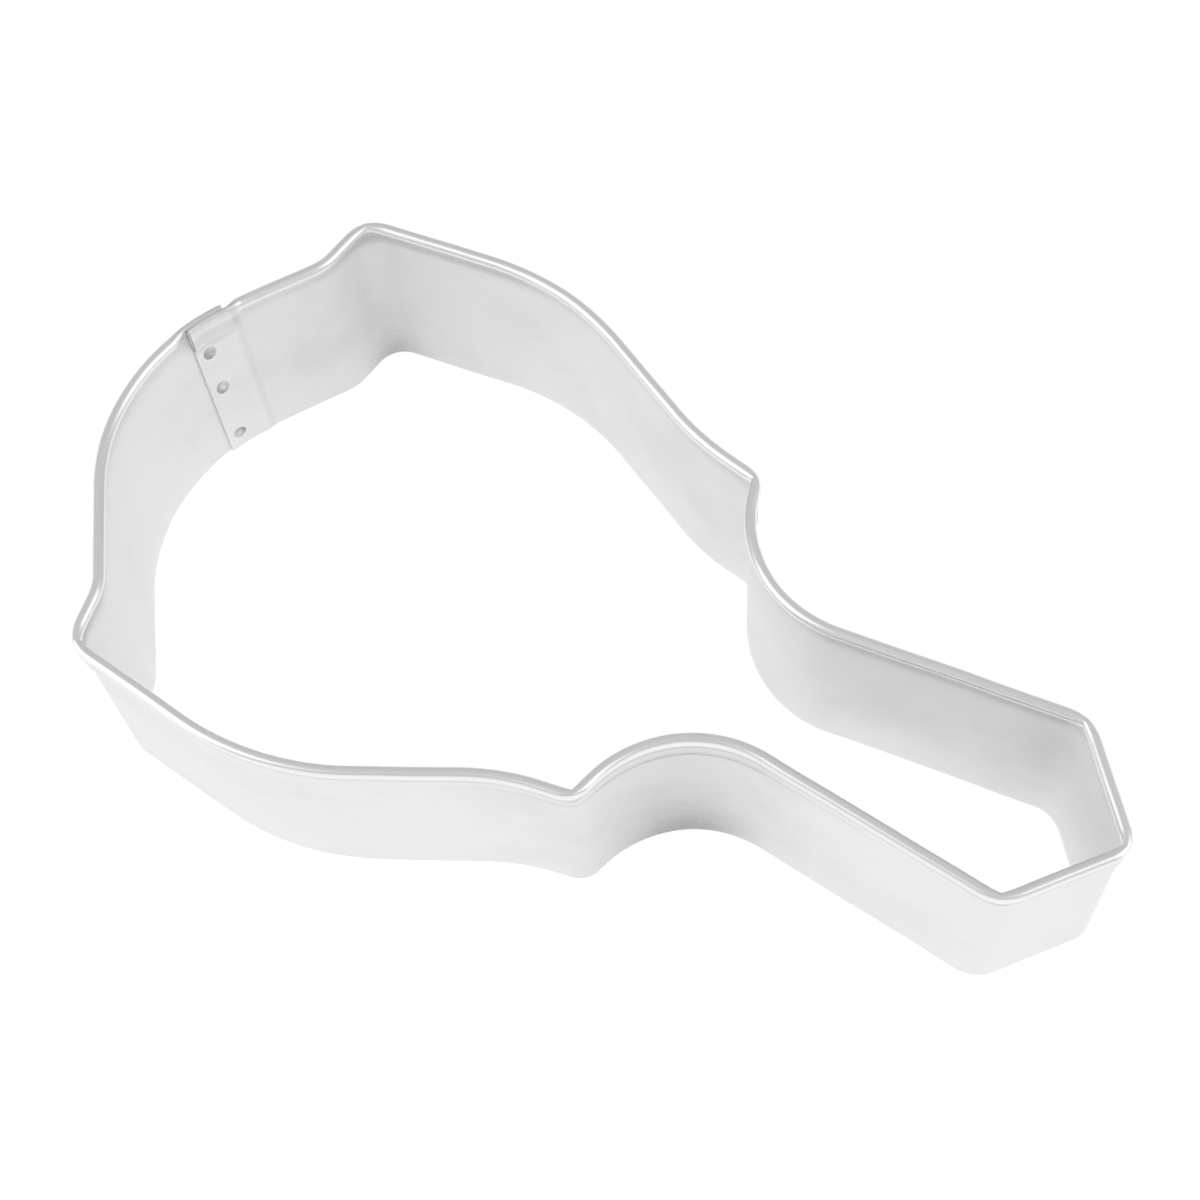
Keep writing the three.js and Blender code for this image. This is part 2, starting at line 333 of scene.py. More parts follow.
class CutterFinish(bpy.types.PropertyGroup):
    """Colours and gloss of the metal"""

    tin: colour("Tin", (0.86, 0.86, 0.86), "Bright tin plating")
    tin_dull: colour("Dulled tin", (0.81, 0.81, 0.81), "Tin where it is handled and dulled")
    steel: colour("Bare steel", (0.5, 0.5, 0.5), "Steel that is bare along the cutting edge")
    # Dark tint that paints shade into the tin, and also marks the wear of the pressed lap
    worn: colour("Worn tin", (0.2, 0.2, 0.2), "Tin where it is soiled or was pressed thin")
    weld: colour("Weld", (0.76, 0.76, 0.76), "Clear middle of a weld mark")
    weld_burn: colour("Burnt weld", (0.36, 0.36, 0.36), "Weld mark where it is burnt most")
    roughness_low: amount("Bright roughness", 0.66, "Roughness of the brightest tin")
    roughness_high: amount("Dull roughness", 0.78, "Roughness of the dullest tin")
    burnish: amount("Burnish", 0.42, "Roughness of the bead, which the rolls burnished, against the wall")
    burnish_fade: length("Burnish fade", 0.6, "Height over which the burnish sets in under the bead")
    patch_dulling: amount("Dulling in patches", 0.5, "How far patches of the tin are dulled")
    line_dulling: amount("Dulling in lines", 0.2, "How far the rolling lines are dulled")
    bare_edge: length("Bare edge", 0.02, "Height of the bare steel at the cutting edge")
    bare_fade: length("Bare edge fade", 0.05, "Height over which the bare steel gives way to tin")
    # Roughness added where shade is painted and where the lap is worn
    worn_roughness: amount("Worn roughness", 0.8, "Roughness that soil and wear add")
    weld_roughness_low: amount("Smooth weld", 0.5, "Roughness of the smoothest part of a weld")
    weld_roughness_high: amount("Rough weld", 0.68, "Roughness of the roughest part of a weld")
    tin_relief: amount("Relief of the tin", 0.03, "Strength of the grain and the rolling lines")
    weld_relief: amount("Relief of a weld", 0.25, "Strength of a weld's grain")
    relief_depth: length("Depth of the relief", 0.02, "Depth of the grain at full strength")


class CutterStage(bpy.types.PropertyGroup):
    """Floor, lights and camera"""

    floor: colour("Floor", (0.2, 0.2, 0.2), "Floor under its own glow")
    floor_mottle: colour("Floor mottle", (0.19, 0.19, 0.19), "Faint variation of the floor")
    floor_glow: amount("Floor glow", 0.88, "Light that the floor, a light table, gives by itself")
    floor_roughness: amount("Floor roughness", 0.75, "Roughness of the floor")
    floor_gloss: amount("Floor gloss", 0.2, "Specular level of the floor")
    floor_radius: length("Floor radius", 1500, "Radius of the round floor")
    sky_low: amount("Room at the horizon", 0.58, "Brightness of the room near the floor")
    sky_high: amount("Room overhead", 0.64, "Brightness of the room overhead")
    lamp_power: power("Lamp power", 0.88, "Power of each soft lamp")
    lamp_width: length("Lamp width", 450, "Width of each soft lamp")
    lamp_height: length("Lamp height", 640, "Height of each soft lamp")
    lamp_distance: length("Lamp distance", 600, "From each lamp to the cutter")
    lamp_left: angle("Left lamp", -45, "Left lamp's turn round the cutter from the -Y side")
    lamp_right: angle("Right lamp", 105, "Right lamp's turn round the cutter from the -Y side")
    lamp_elevation: angle("Lamp elevation", 35, "Height of the lamps above the horizon")
    card_power: power("Card power", 0.31, "Power of the front card")
    card_width: length("Card width", 900, "Width of the front card")
    card_height: length("Card height", 300, "Height of the front card")
    card_azimuth: angle("Front card", 30, "Front card's turn round the cutter from the -Y side")
    card_elevation: angle("Card elevation", 10, "Height of the front card above the horizon")
    camera_azimuth: angle("Azimuth", 34.285, "Camera's turn round the cutter from the -Y side")
    camera_elevation: angle("Elevation", 63.84, "Camera's height above the horizon")
    camera_roll: angle("Roll", -6.32, "Tilt of the picture")
    camera_distance: length("Distance", 235.69, "From the camera to the point it looks at")
    camera_clip: length("Clip start", 10, "Nearest distance that the camera shows")
    camera_aim: FloatVectorProperty(
        name="Aim",
        description="Point that the camera looks at",
        default=(-3.21 * MM, 4.96 * MM, 12.7 * MM),
        size=3,
        precision=4,
        unit="LENGTH",
    )
    camera_lens: FloatProperty(
        name="Lens", description="Focal length on a 36 mm sensor", default=66.95, unit="CAMERA"
    )


class CutterSettings(bpy.types.PropertyGroup):
    """All the settings of the cookie cutter"""

    outline: PointerProperty(type=CutterOutline)
    strip: PointerProperty(type=CutterStrip)
    seam: PointerProperty(type=CutterSeam)
    welds: PointerProperty(type=CutterWelds)
    finish: PointerProperty(type=CutterFinish)
    stage: PointerProperty(type=CutterStage)


# Outline. Points in plan are complex numbers, x + iy, and the inside is on the right of the walk.


def flat(start, end):
    """A straight stretch: its length, its stations, its place at a distance along it and its curl"""
    reach = abs(end - start)
    run = (end - start) / reach
    count = max(1, math.ceil(reach / FLAT_STEP))
    return reach, np.linspace(0, reach, count + 1), lambda d: (start + run * d, 1j * run), 0.0


def bend(start, run, turn, radius):
    """A bend from a point and a run: a positive turn is to the left, away from the inside"""
    side = math.copysign(1, turn)
    centre = start + 1j * run * side * radius

    def place(d):
        normal = 1j * run * cmath.exp(1j * side * d / radius)
        return centre - normal * side * radius, normal

    reach = radius * abs(turn)
    count = max(2, math.ceil(abs(turn) / BEND_STEP), math.ceil(reach / FLAT_STEP))
    return reach, np.linspace(0, reach, count + 1), place, side / radius


def sharp_corners(outline):
    """Corner points and bend radii, clockwise from the crown"""
    along = 0.0
    side = []
    for name in CORNERS:
        step, width, radius = getattr(outline, name)
        along += step
        side.append((complex(along, width / 2), radius))
    crown, *flank, tip = side
    return [crown, *flank, tip, *((point.conjugate(), radius) for point, radius in reversed(flank))]


def outline_pieces(corners):
    """Flats and bends from the end of the crown bend round to the same point, bends no longer than fit"""
    count = len(corners)
    points = [point for point, _ in corners]
    legs = [points[(i + 1) % count] - points[i] for i in range(count)]
    runs = [leg / abs(leg) for leg in legs]
    turns = [cmath.phase(runs[i] / runs[i - 1]) for i in range(count)]
    wanted = [radius * math.tan(abs(turn) / 2) for (_, radius), turn in zip(corners, turns)]
    share = [min(1, abs(legs[i]) / (wanted[i] + wanted[(i + 1) % count])) for i in range(count)]
    setback = [wanted[i] * min(share[i], share[i - 1]) for i in range(count)]
    pieces = []
    for i in range(count):
        j = (i + 1) % count
        start = points[i] + runs[i] * setback[i]
        end = points[j] - runs[i] * setback[j]
        if abs(end - start) > SAME_STATION:
            pieces.append(flat(start, end))
        pieces.append(bend(end, runs[i], turns[j], setback[j] / math.tan(abs(turns[j]) / 2)))
    return pieces


class StripPath:
    """The strip's way round the outline, with the middle of the outline over the origin"""

    def __init__(self, outline, seam):
        self.pieces = outline_pieces(sharp_corners(outline))
        self.starts = np.cumsum([0.0] + [piece[0] for piece in self.pieces])
        self.loop = self.starts[-1]
        self.shift = 0.0
        self.inner_end = -seam.setback - seam.lap_length
        self.outer_end = self.loop - seam.setback
        across = [self.place(s)[0].real for s in self.piece_stations()]
        self.shift = -(min(across) + max(across)) / 2

    def piece_stations(self):
        """Stations at the ends of the flats and along the bends"""
        return np.concatenate([start + piece[1] for start, piece in zip(self.starts, self.pieces)])

    def place(self, station):
        """Point on the outline and outward normal at a station"""
        s = station % self.loop
        i = min(np.searchsorted(self.starts, s, side="right") - 1, len(self.pieces) - 1)
        point, normal = self.pieces[i][2](s - self.starts[i])
        return point + self.shift, normal

    def nearest_bend(self, station, side, radii):
        """Distance, reach and radius of the nearest bend that turns to a side with a radius between two"""
        low, high = radii
        return min(
            (abs(station % self.loop - start - reach / 2), reach, 1 / abs(curl))
            for start, (reach, _, _, curl) in zip(self.starts, self.pieces)
            if curl * side > 0 and low < 1 / abs(curl) < high
        )

    def stations(self, strip, seam):
        """Stations of the sections, closer together along the seam and at the two ends"""
        run_out = -seam.setback + seam.joggle_start + max(seam.joggle_length, seam.press_runout)
        inner = np.arange(self.inner_end, run_out, SEAM_STEP)
        outer = np.arange(self.outer_end - seam.lap_length - seam.squeeze_runin, self.outer_end, SEAM_STEP)
        rest = self.piece_stations()
        rest = rest[(rest > inner[-1]) & (rest < outer[0])]
        ends = [self.inner_end + strip.edge_round, self.outer_end - strip.edge_round, self.outer_end]
        found = np.unique(np.concatenate([inner, rest, outer, ends]))
        kept = np.concatenate([[True], np.diff(found) > SAME_STATION])
        return found[kept]


# Section. Points are complex numbers, outwards from the wall + i times the height.


def blend(a, b, share):
    """From a at a share of 0 to b at 1"""
    return a + (b - a) * share


def eased(value, low, high):
    """Smooth step from 0 at low to 1 at high"""
    f = np.clip((value - low) / (high - low), 0.0, 1.0)
    return f * f * (3 - 2 * f)


def bell(value, spread):
    """1 at a value of 0, thinning out on both sides"""
    return np.exp(-((value / spread) ** 2))


def hump(share):
    """1 halfway, and 0 at shares of 0 and 1"""
    return 4 * share * (1 - share)


def sheet_line(strip, seam, press, squeeze, flare, lift):
    """
    Middle of the sheet. A press of 0 gives the round bead and 1 the flattened hem of the inner end. A
    squeeze of 1 narrows the bead from the inside, as at the lap. The flare opens the hem's free edge, and
    the lift brings the flattened hem further in.
    """
    half = strip.sheet / 2
    bead = strip.bead_radius - half
    hem = half + strip.hem_gap / 2
    narrow = blend(bead, seam.bead_radius - half, squeeze)
    fold = blend(narrow, hem, press)
    swing = blend(2 * narrow - bead, 2 * (seam.bead_radius - half) - bead + 2 * hem + lift, press)
    lean = math.atan2(2 * swing, strip.swing_height) * (1 - press)
    close = (bead - 2 * hem) * (1 - press)
    close_lean = math.atan2(2 * close, strip.hem_leg)
    turned = np.exp(1j * np.linspace(math.pi + lean, -close_lean, FOLD_ROWS + 1))
    folded = fold - swing + 1j * (strip.wall_height - half - fold + seam.flap_rise * press) + fold * turned
    top = folded[0]
    knee = blend(top.imag - strip.swing_height, strip.wall_height - seam.flap_height, press)
    step = blend(strip.swing_height, seam.flap_step, press)
    wall = 1j * np.linspace(0, knee, WALL_ROWS, endpoint=False)
    rows = np.arange(SWING_ROWS + RISE_ROWS)
    even = np.linspace(knee, top.imag, len(rows), endpoint=False)
    stepped = np.interp(rows, (0, SWING_ROWS, len(rows)), (knee, knee + step, top.imag))
    heights = blend(even, stepped, press)
    f = np.clip((heights - knee) / step, 0, 1)
    swung = top.real * blend(f**2, eased(f, 0, 1), press) + 1j * heights
    f = np.linspace(0, 1, LEG_ROWS + 1)[1:]
    leg_length = math.pi * bead + strip.hem_leg - math.pi * fold
    leg = folded[-1] - close * (1 - (1 - f) ** 2) + flare * f**FLARE_POWER - 1j * leg_length * f
    return np.concatenate([wall, swung, folded, leg])


def rounded_edge(tip, out, side, half, radius):
    """Quarter round from a face of the sheet to its sheared edge: out points past the edge"""
    centre = tip - out * radius + side * (half - radius)
    turn = np.linspace(0, math.pi / 2, EDGE_ROWS + 1)
    return centre + radius * (side * np.cos(turn) + out * np.sin(turn))


def section(strip, line, trim):
    """The inner face from the cutting edge to the edge of the hem, then the outer face back"""
    half = strip.sheet / 2 - trim
    radius = min(strip.edge_round, half * EDGE_SHARE)
    runs = np.diff(line)
    runs /= abs(runs)
    middle = np.concatenate([runs[:1], runs[:-1] + runs[1:], runs[-1:]])
    middle /= abs(middle)

    def face(side):
        normal = 1j * side * middle
        low = rounded_edge(line[0], -middle[0], normal[0], half, radius)[::-1]
        hem = rounded_edge(line[-1], middle[-1], normal[-1], half, radius)
        return np.concatenate([low, (line + normal * half)[1:-1], hem])

    return np.concatenate([face(1), face(-1)[::-1]])


def seam_state(seam, path, station):
    """How far along the joggle the strip is, how flat it is pressed, how far squeezed and lifted"""
    start = -seam.setback + seam.joggle_start
    joggled = eased(station, start, start + seam.joggle_length)
    press = 1 - eased(station, start, start + seam.press_runout)
    lap = path.outer_end - seam.lap_length
    squeeze = eased(station, lap - seam.squeeze_runin, lap)
    lift = seam.flap_lift * (1 - eased(station - path.inner_end, 0, seam.flap_lift_run))
    return joggled, press, squeeze, lift


def bend_state(strip, path, station):
    """How far a bend pinches the bead to a corner, and how far it flares the hem, at a station"""
    off, reach, radius = path.nearest_bend(station, CORNER, (0, strip.tight_bend))
    left = max(0.0, reach / 2 - off) / radius
    pinch = (1 / math.cos(left) - 1) / (1 / math.cos(reach / 2 / radius) - 1)
    off, reach, _ = path.nearest_bend(station, HOLLOW, FLARED_RADII)
    hollow = 1 - eased(off, reach / 2 - strip.flare_runout, reach / 2 + strip.flare_runout)
    return strip.bend_squeeze * pinch, strip.hem_flare * hollow


def rim_drop(strip, height):
    """Depth below the rim in bead radii"""
    return (strip.wall_height - height) / strip.bead_radius


def inside_shade(strip, path, station, height, press):
    """Painted shade on the inside: by the cutting edge in the ears, near the ear by the lap, and under the
    bead
    """
    spot, normal = path.place(station)
    ear, _, _ = path.nearest_bend(station, CORNER, EAR_RADII)
    lap_side = eased(spot.imag, 0, strip.ear_side_shade_reach / 2)
    # Painted shade in the ear corners, darkest at the cutting edge
    painted_shade = strip.ear_corner_shade * bell(ear, strip.ear_corner_shade_reach) * np.exp(-height / strip.ear_corner_shade_height)
    # Painted shade: even darkening inside the head near the ear on the lap side
    painted_shade = painted_shade + strip.ear_side_shade * bell(ear, strip.ear_side_shade_reach) * lap_side
    long_side = bell(normal.real - LONG_SIDE, LONG_SIDE_SPREAD)
    by_ear = bell(ear, 2 * strip.ear_corner_shade_reach)
    share = blend(SHORT_SIDE_SHARE, 1.0, max(long_side, by_ear)) * (1 - press)
    drop = rim_drop(strip, height)
    # Painted shade on the bead's underside, and a band of painted shade on the wall below it
    underside = strip.bead_underside_shade * bell(drop - UNDERSIDE, UNDERSIDE_SPREAD)
    thinned = bell(np.maximum(drop - UNDER_SHADE_FULL, 0), strip.under_bead_shade_height / strip.bead_radius)
    below = strip.under_bead_shade * eased(drop, *UNDER_SHADE_RISE) * thinned
    return np.maximum(painted_shade, share * np.maximum(underside, below))


def lap_shade_and_wear(strip, seam, height, state):
    """Painted shade and wear of the lap: painted shade in the flap's crease, opening and face and on the
    joggle, and wear of the fold and the squeezed bead
    """
    joggled, press, squeeze, _ = state
    above_knee = height - strip.wall_height + seam.flap_height
    # Painted shade in the crease just below the flap's step, and where the pressed hem opens out
    crease = press * bell(above_knee + seam.crease_width, seam.crease_width)
    opening = OPENING_SHADE * press**2 * (1 - press) * eased(above_knee, 0, seam.flap_step)
    # Painted shade on the flap's face above the step
    face = press * eased(above_knee, 0, 2 * seam.flap_step)
    fold = eased(height, strip.wall_height - FOLD_FADE, strip.wall_height - FOLD_FULL)
    shade_and_press_wear = seam.crease_shade * (crease + opening) + seam.flap_shade * face
    shade_and_press_wear = shade_and_press_wear + seam.press_wear * fold * max(press, squeeze)
    # Painted shade: a faint dark band along the joggle, most at its middle
    return shade_and_press_wear + seam.joggle_shade * hump(joggled)


def end_shade(strip, seam, path, station, height):
    """Painted shade on the sheared ends of the strip: on the flap, and on the bead of the outer end"""
    # Painted shade on the end faces of the strip
    if station == path.inner_end:
        above_knee = height - strip.wall_height + seam.flap_height
        return seam.end_shade * eased(above_knee, 0, seam.flap_step)
    if station == path.outer_end:
        return seam.end_shade * eased(rim_drop(strip, height), BEAD_FADE, BEAD_END)
    return np.zeros(len(height))


def outside_shade(strip, path, station, height, on_leg):
    """Painted shade on the outside of the wall, and on the leg of the hem"""
    neck, _, _ = path.nearest_bend(station, HOLLOW, NECK_RADII)
    # Painted shade: even darkening of the outside by the neck, on the wall and on the hem's leg
    neck_shading = strip.neck_shade * bell(neck, strip.neck_shade_reach)
    # Painted shade in the neck hollow, darkest at the cutting edge and thinning out upwards and along the
    # strip
    hollow_shading = np.exp(-height / strip.hollow_shade_height) * bell(neck, strip.hollow_shade_reach)
    free_edge = height[on_leg].min()
    # Painted shade under and along the hem's free edge by the neck, and along the hem's root
    edge_shading = strip.hem_shade * bell(neck, strip.hem_shade_reach)
    under_edge = edge_shading * bell(height - free_edge + strip.hem_shade_height, strip.hem_shade_height)
    root = free_edge + HEM_ROOT * strip.hem_leg
    leg = strip.hem_shade * bell(height - root, strip.hem_shade_height)
    leg = leg + edge_shading * bell(height - free_edge, strip.hem_shade_height)
    return np.maximum(strip.hollow_shade * hollow_shading + neck_shading, under_edge), leg + neck_shading


def worn_share(strip, seam, path, station, state, ring):
    """How far painted shade and wear darken the tin at each point of a section"""
    height = ring.imag
    order = np.arange(len(ring))
    inner_face = order < len(ring) // 2
    on_leg = np.minimum(order, order[::-1]) >= LEG_START
    _, press, _, _ = state
    inside = inside_shade(strip, path, station, height, press)
    inside = np.maximum(inside, lap_shade_and_wear(strip, seam, height, state))
    inside = np.maximum(inside, end_shade(strip, seam, path, station, height))
    outside, leg = outside_shade(strip, path, station, height, on_leg)
    return np.where(inner_face, np.where(on_leg, leg, inside), outside)


def unevenness(strip, turn, heights):
    """Slight waves of the wall, alike on both laps because they close round the loop"""
    rise = heights / strip.wall_height
    waves = sum(share * np.sin(count * turn + lean * rise + phase) for count, share, lean, phase in WAVES)
    return strip.waviness * waves


def loft_faces(count, size):
    """Quads between the rings of a loft, and the caps of its first and its last ring"""
    faces = []
    for r in range(count - 1):
        for i in range(size):
            j = (i + 1) % size
            faces.append((r * size + i, (r + 1) * size + i, (r + 1) * size + j, r * size + j))
    last = (count - 1) * size
    for i in range(size // 2 - 1):
        a, b, c, d = i, i + 1, size - 2 - i, size - 1 - i
        faces.append((a, b, c, d))
        faces.append((last + a, last + d, last + c, last + b))
    return faces


def band_mesh(cutter, path):
    """Vertices, faces and the share of painted shade and wear of the strip, lofted along its path"""
    strip, seam = cutter.strip, cutter.seam
    stations = path.stations(strip, seam)
    rings = []
    worn = []
    for station in stations:
        point, normal = path.place(station)
        state = seam_state(seam, path, station)
        joggled, press, squeeze, lift = state
        pinch, flare = bend_state(strip, path, station)
        line = sheet_line(strip, seam, press, max(squeeze, pinch), flare, lift)
        at_end = station in (stations[0], stations[-1])
        ring = section(strip, line, strip.edge_round if at_end else 0.0)
        turn = 2 * math.pi * station / path.loop
        inset = (strip.sheet + seam.lap_gap) * (1 - joggled)
        out = ring.real - inset + unevenness(strip, turn, ring.imag)
        plan = point + normal * out
        rings.append(np.column_stack([plan.real, plan.imag, ring.imag]))
        worn.append(worn_share(strip, seam, path, station, state, ring))
    return np.concatenate(rings), loft_faces(len(rings), len(rings[0])), np.concatenate(worn)


# Welds


def weld_frames(cutter, path):
    """Place of each weld: local X and Y in the face of the wall, local Z outwards"""
    strip, seam, welds = cutter.strip, cutter.seam, cutter.welds
    point, normal = path.place(path.inner_end + welds.to_end)
    middle = point - normal * (strip.sheet + seam.lap_gap) / 2
    upper = strip.wall_height - seam.flap_height - welds.below_flap
    heights = {"upper": upper, "middle": upper - welds.pitch, "lower": welds.low_height}
    out = Vector((normal.real, normal.imag, 0))
    up = Vector((0, 0, 1))
    turn = Matrix((up.cross(out), up, out)).transposed().to_4x4()
    return {
        name: Matrix.Translation((middle.real, middle.imag, height)) @ turn
        for name, height in heights.items()
    }


def weld_rim(radius, mark):
    """The rim of a weld in the face of the wall, as complex numbers"""
    _, _, tall = mark
    turns = np.linspace(0, 2 * math.pi, WELD_SPOKES, endpoint=False)
    return radius * (np.cos(turns) + 1j * tall * np.sin(turns))


def weld_relief(welds, share, turn, mark):
    """Height of a weld's face at a share of its radius: a dish, a pushed-up ring and a low middle"""
    heavy, _, _ = mark
    lean = 1 + HEAVY_LEAN * np.cos(turn - heavy)
    dish = -welds.dish * bell(share - DISH_AT, DISH_SPREAD) * lean
    ring = welds.lip * bell(share - LIP_AT, LIP_SPREAD) * blend(1, lean, LIP_LEAN)
    middle = -MIDDLE_DEPTH * welds.dish * bell(share, MIDDLE_SPREAD)
    return (dish + ring + middle) * (1 - share**LEVEL_POWER)


def weld_burn(share, turn, mark):
    """How burnt a weld is at a share of its radius: most on its heavy side, least in a clear middle"""
    heavy, clear, _ = mark
    ring = 1 - clear * bell(share, CLEAR_SPREAD)
    side = BURN_MEAN + BURN_LEAN * share * np.cos(turn - heavy)
    wave = BURN_WAVE_DEPTH * share * np.sin(BURN_WAVES * turn + BURN_WAVE_PHASE * heavy)
    return ring * side * (1 + wave)


def weld_mesh(cutter, mark):
    """Vertices, faces and burning of a nugget that fills its hole through both laps"""
    strip, seam, welds = cutter.strip, cutter.seam, cutter.welds
    face = strip.sheet + seam.lap_gap / 2
    shares = np.linspace(0, 1, WELD_RINGS + 1)[1:]
    turns = np.linspace(0, 2 * math.pi, WELD_SPOKES, endpoint=False)
    rim = weld_rim(welds.radius, mark)
    verts = []
    burnt = []
    for side in (1, -1):
        verts.append([0, 0, side * (face + weld_relief(welds, 0.0, 0.0, mark))])
        burnt.append(weld_burn(0.0, 0.0, mark))
        for share in shares:
            relief = face + weld_relief(welds, share, turns, mark)
            verts.extend(np.column_stack([share * rim.real, share * rim.imag, side * relief]))
            burnt.extend(weld_burn(share, turns, mark))
    count = WELD_SPOKES
    per_side = 1 + WELD_RINGS * count
    faces = []
    for k in range(count):
        n = (k + 1) % count
        faces.append((0, 1 + k, 1 + n))
        faces.append((per_side, per_side + 1 + n, per_side + 1 + k))
        for r in range(WELD_RINGS - 1):
            a, b = 1 + r * count, 1 + (r + 1) * count
            faces.append((a + k, b + k, b + n, a + n))
            faces.append((per_side + a + k, per_side + a + n, per_side + b + n, per_side + b + k))
        last = 1 + (WELD_RINGS - 1) * count
        faces.append((last + k, per_side + last + k, per_side + last + n, last + n))
    return np.array(verts), faces, burnt


def weld_drill(cutter, place, mark):
    """A cutting cylinder for the hole of one weld"""
    rim = weld_rim(cutter.welds.radius - HOLE_EASE, mark)
    reach = DRILL_REACH * cutter.strip.sheet
    verts = [(spot.real, spot.imag, z) for z in (-reach, reach) for spot in rim]
    count = WELD_SPOKES
    sides = [(k, (k + 1) % count, count + (k + 1) % count, count + k) for k in range(count)]
    caps = [tuple(range(count))[::-1], tuple(range(count, 2 * count))]
    drill = new_object("weld_drill", verts, sides + caps)
    drill.matrix_world = place
    return drill


# Objects and materials


def shade(mesh):
    """Shades a mesh smooth, and sharp where its faces turn steeply"""
    mesh.shade_smooth()
    mesh.set_sharp_from_angle(angle=SHARP_ANGLE)


def new_object(name, verts, faces, **shares):
    """A mesh object, with shares from 0 to 1 by vertex"""
    mesh = bpy.data.meshes.new(name)
    mesh.from_pydata([tuple(vert) for vert in verts], [], faces)
    mesh.validate()
    for share, values in shares.items():
        mesh.attributes.new(share, "FLOAT", "POINT").data.foreach_set("value", np.array(values))
    shade(mesh)
    made = bpy.data.objects.new(name, mesh)
    bpy.context.scene.collection.objects.link(made)
    return made


def place_piece(piece, node, material):
    """Rides the piece on the body, in the place of its CAD node"""
    piece.data.materials.clear()
    piece.data.materials.append(material)
    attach(piece, "root")
    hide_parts(node)


def join_points(mesh):
    """Joins the doubled points of a drilled mesh, and takes out those that only two edges use"""
    joined = bmesh.new()
    joined.from_mesh(mesh)
    bmesh.ops.remove_doubles(joined, verts=joined.verts, dist=SAME_POINT)
    spare = [vert for vert in joined.verts if len(vert.link_edges) == 2]
    bmesh.ops.dissolve_verts(joined, verts=spare)
    joined.to_mesh(mesh)
    joined.free()


def drill_holes(band, drills):
    """Cuts the weld holes through both laps"""
    for drill in drills:
        cut = band.modifiers.new("Weld hole", "BOOLEAN")
        cut.operation = "DIFFERENCE"
        cut.solver = "EXACT"
        cut.object = drill
    bpy.context.view_layer.update()
    seen = band.evaluated_get(bpy.context.evaluated_depsgraph_get())
    drilled = bpy.data.meshes.new_from_object(seen)
    join_points(drilled)
    shade(drilled)
    band.modifiers.clear()
    plain = band.data
    drilled.name = plain.name
    band.data = drilled
    bpy.data.meshes.remove(plain)
    for drill in drills:
        mesh = drill.data
        bpy.data.objects.remove(drill)
        bpy.data.meshes.remove(mesh)


class NodeBoard:
    """A material's node tree, with short calls for the nodes that the finishes use"""

    def __init__(self, name):
        self.material = bpy.data.materials.new(name)
        self.material.use_nodes = True
        self.tree = self.material.node_tree
        self.tree.nodes.clear()
        self.output = self.tree.nodes.new("ShaderNodeOutputMaterial")
        self.shader = self.tree.nodes.new("ShaderNodeBsdfPrincipled")
        self.tree.links.new(self.shader.outputs[0], self.output.inputs["Surface"])
        self.coords = self.tree.nodes.new("ShaderNodeTexCoord").outputs["Object"]

    def link(self, value, socket):
        """Links an output to an input, or sets the input to a plain value"""
        if isinstance(value, bpy.types.NodeSocket):
            self.tree.links.new(value, socket)
        else:
            socket.default_value = value

    def node(self, kind, inputs=(), **settings):
        """A node with its settings, and its inputs by name or number"""
        made = self.tree.nodes.new(kind)
        for name, value in settings.items():
            setattr(made, name, value)
        for name, value in dict(inputs).items():
            self.link(value, made.inputs[name])
        return made

    def share(self, name):
        """A share that is kept by vertex on the mesh"""
        return self.node("ShaderNodeAttribute", attribute_name=name).outputs["Fac"]

    def stretched(self, scale):
        """Object coordinates stretched by a scale for each axis"""
        return self.node("ShaderNodeMapping", {"Vector": self.coords, "Scale": scale}).outputs[0]

    def noise(self, vector, scale, detail=3.0, roughness=0.55):
        """Noise from 0 to 1"""
        inputs = {"Vector": vector, "Scale": scale, "Detail": detail, "Roughness": roughness}
        return self.node("ShaderNodeTexNoise", inputs).outputs[0]

    def ranged(self, value, span, reached):
        """A value carried smoothly from one span to another"""
        inputs = dict(enumerate((value, *span, *reached)))
        return self.node("ShaderNodeMapRange", inputs, interpolation_type="SMOOTHSTEP").outputs[0]

    def math(self, operation, *values):
        """Arithmetic on values"""
        return self.node("ShaderNodeMath", dict(enumerate(values)), operation=operation).outputs[0]

    def mixed(self, share, first, second):
        """A colour between two colours"""
        made = self.node("ShaderNodeMix", data_type="RGBA")
        self.link(share, made.inputs["Factor"])
        for name, value in (("A", first), ("B", second)):
            socket = [s for s in made.inputs if s.name == name and s.type == "RGBA"][0]
            self.link(value, socket)
        return [s for s in made.outputs if s.type == "RGBA"][0]

    def bumped(self, height, strength, distance):
        """A bump that the shader takes as its normal"""
        inputs = {"Height": height, "Strength": strength, "Distance": distance}
        return self.node("ShaderNodeBump", inputs).outputs[0]

    def finish(self, **sockets):
        """Sets the shader's inputs by name, with _ for a space"""
        for name, value in sockets.items():
            self.link(value, self.shader.inputs[name.replace("_", " ")])
        return self.material


def rgba(values):
    """A colour that is fully opaque"""
    return (*values, 1.0)


